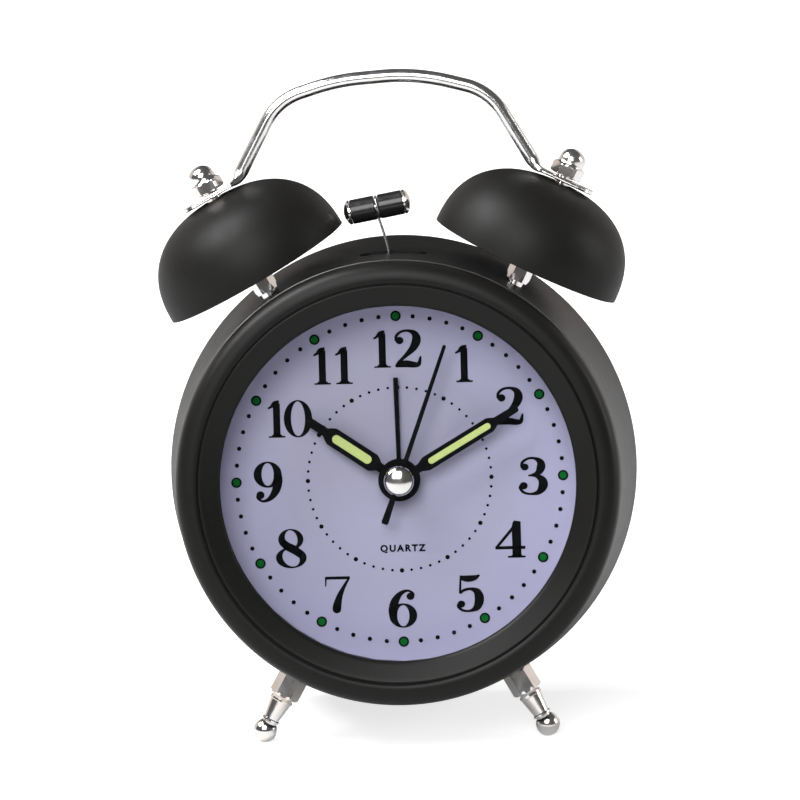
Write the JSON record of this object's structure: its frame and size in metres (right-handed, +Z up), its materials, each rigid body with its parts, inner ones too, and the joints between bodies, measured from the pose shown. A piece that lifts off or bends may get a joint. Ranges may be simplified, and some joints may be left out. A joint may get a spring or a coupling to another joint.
{
  "type": "alarm clock",
  "caption": "Round black alarm clock with bells and a hammer on top, a wire handle, ball feet, a printed dial with moving hands, and a battery movement.",
  "frame": {"origin": "middle of the bounding box's underside, on the floor the clock stands on", "axes": "+X to the right as the clock is read, +Y away from the reader, +Z up; the case leans back by 11.26 degrees"},
  "size_m": [0.0892, 0.06, 0.1223],
  "materials": {
    "black_paint": "satin black lacquer on pressed steel",
    "chrome": "polished chrome plate",
    "black_plastic": "moulded black plastic",
    "clear": "clear flat lens",
    "dial_print": "matt lavender print",
    "hand_black": "black lacquer",
    "white_plastic": "natural white plastic",
    "brass": "cut brass",
    "copper_wire": "enamelled copper winding",
    "steel": "plain steel",
    "board": "green laminate",
    "cell_wrap": "printed sleeve"
  },
  "bodies": {
    "clock": {"case_can": "black_paint", "front_bezel": "black_paint", "lens": "clear", "dial": "dial_print", "dial_ring": "black_plastic", "back_cover": "black_plastic", "bell_left": "black_paint", "bell_right": "black_paint", "bell_post_left": "chrome", "bell_post_right": "chrome", "acorn_nut_left": "chrome", "acorn_nut_right": "chrome", "handle": "chrome", "foot_left": "chrome", "foot_right": "chrome", "back_screw_1": "steel", "back_screw_2": "steel", "back_screw_3": "steel", "battery_cell": "cell_wrap", "battery_spring_contact": "steel", "battery_plate_contact": "steel", "movement_front_plate": "white_plastic", "movement_housing": "white_plastic", "circuit_board": "board", "coil": "copper_wire", "stator": "steel", "quartz_crystal": "steel", "bell_motor": "steel", "hammer_bracket": "steel"},
    "seconds": {"seconds_wheel": "brass", "second_hand": "hand_black", "hand_cap": "chrome"},
    "rotor": {"rotor": "steel"},
    "step": {"step_wheel": "brass"},
    "third": {"third_wheel": "brass"},
    "centre": {"centre_wheel": "brass"},
    "minutes": {"cannon_pinion": "brass", "minute_hand": "hand_black"},
    "motion": {"motion_wheel": "white_plastic"},
    "hours": {"hour_wheel": "white_plastic", "hour_hand": "hand_black"},
    "alarm": {"alarm_wheel": "white_plastic", "alarm_hand": "hand_black"},
    "time_setting": {"time_set_shaft": "steel", "time_set_knob": "black_plastic"},
    "alarm_setting": {"alarm_set_shaft": "steel", "alarm_set_knob": "black_plastic"},
    "hammer": {"hammer_lever": "steel", "hammer_wire": "steel", "hammer_rod": "chrome", "hammer_sleeve_left": "black_plastic", "hammer_sleeve_right": "black_plastic"},
    "motor_drive": {"motor_pinion": "brass"},
    "crank": {"crank_wheel": "white_plastic"},
    "switch": {"alarm_switch": "black_plastic"},
    "door": {"battery_door": "black_plastic"}
  },
  "joints": [
    {"name": "second_hand_spin", "type": "hinge", "parent": "clock", "child": "seconds", "pos_m": [0.00017, -0.01341, 0.04979], "axis": [0, 0.9807, -0.1953], "continuous": true},
    {"name": "rotor_spin", "type": "hinge", "parent": "clock", "child": "rotor", "pos_m": [0.00952, 0.00146, 0.03995], "axis": [0, 0.9807, -0.1953], "continuous": true},
    {"name": "step_wheel_spin", "type": "hinge", "parent": "clock", "child": "step", "pos_m": [0.00463, 0.00191, 0.04219], "axis": [0, 0.9807, -0.1953], "continuous": true},
    {"name": "third_wheel_spin", "type": "hinge", "parent": "clock", "child": "third", "pos_m": [-0.00556, 0.00095, 0.05277], "axis": [0, 0.9807, -0.1953], "continuous": true},
    {"name": "centre_wheel_spin", "type": "hinge", "parent": "clock", "child": "centre", "pos_m": [0.00017, -0.00115, 0.04734], "axis": [0, 0.9807, -0.1953], "continuous": true},
    {"name": "minute_hand_spin", "type": "hinge", "parent": "clock", "child": "minutes", "pos_m": [0.00017, -0.01243, 0.04959], "axis": [0, 0.9807, -0.1953], "continuous": true},
    {"name": "motion_wheel_spin", "type": "hinge", "parent": "clock", "child": "motion", "pos_m": [0.00698, -0.00179, 0.05437], "axis": [0, 0.9807, -0.1953], "continuous": true},
    {"name": "hour_hand_spin", "type": "hinge", "parent": "clock", "child": "hours", "pos_m": [0.00017, -0.01125, 0.04936], "axis": [0, 0.9807, -0.1953], "continuous": true},
    {"name": "alarm_hand_spin", "type": "hinge", "parent": "clock", "child": "alarm", "pos_m": [0.00017, -0.01007, 0.04912], "axis": [0, 0.9807, -0.1953], "continuous": true},
    {"name": "time_set_spin", "type": "hinge", "parent": "clock", "child": "time_setting", "pos_m": [0.01617, 0.02513, 0.04619], "axis": [0, 0.9807, -0.1953], "continuous": true},
    {"name": "alarm_set_spin", "type": "hinge", "parent": "clock", "child": "alarm_setting", "pos_m": [-0.01583, 0.02513, 0.04619], "axis": [0, 0.9807, -0.1953], "continuous": true},
    {"name": "hammer_swing", "type": "hinge", "parent": "clock", "child": "hammer", "pos_m": [0.00017, 0.0057, 0.07915], "axis": [0, 0.9807, -0.1953], "range_deg": [-2.5, 16.5]},
    {"name": "motor_pinion_spin", "type": "hinge", "parent": "clock", "child": "motor_drive", "pos_m": [0.00675, 0.00668, 0.07335], "axis": [0, 0.9807, -0.1953], "continuous": true},
    {"name": "crank_wheel_spin", "type": "hinge", "parent": "clock", "child": "crank", "pos_m": [0.00017, 0.00594, 0.06962], "axis": [0, 0.9807, -0.1953], "continuous": true},
    {"name": "alarm_switch_slide", "type": "slide", "parent": "clock", "child": "switch", "axis": [1, 0, 0], "range_m": [0, 0.004]},
    {"name": "battery_door_lift", "type": "slide", "parent": "clock", "child": "door", "axis": [0, 0.9807, -0.1953], "range_m": [0, 0.01]}
  ],
  "couplings": [
    {"joint": "third_wheel_spin", "follows": "second_hand_spin", "ratio": -0.125},
    {"joint": "centre_wheel_spin", "follows": "second_hand_spin", "ratio": 0.016667},
    {"joint": "step_wheel_spin", "follows": "second_hand_spin", "ratio": -6},
    {"joint": "rotor_spin", "follows": "second_hand_spin", "ratio": 30},
    {"joint": "motion_wheel_spin", "follows": "minute_hand_spin", "ratio": -0.33333},
    {"joint": "hour_hand_spin", "follows": "minute_hand_spin", "ratio": 0.083333},
    {"joint": "time_set_spin", "follows": "minute_hand_spin", "ratio": 1},
    {"joint": "alarm_set_spin", "follows": "alarm_hand_spin", "ratio": -2.75},
    {"joint": "motor_pinion_spin", "follows": "crank_wheel_spin", "ratio": -3.75}
  ]
}
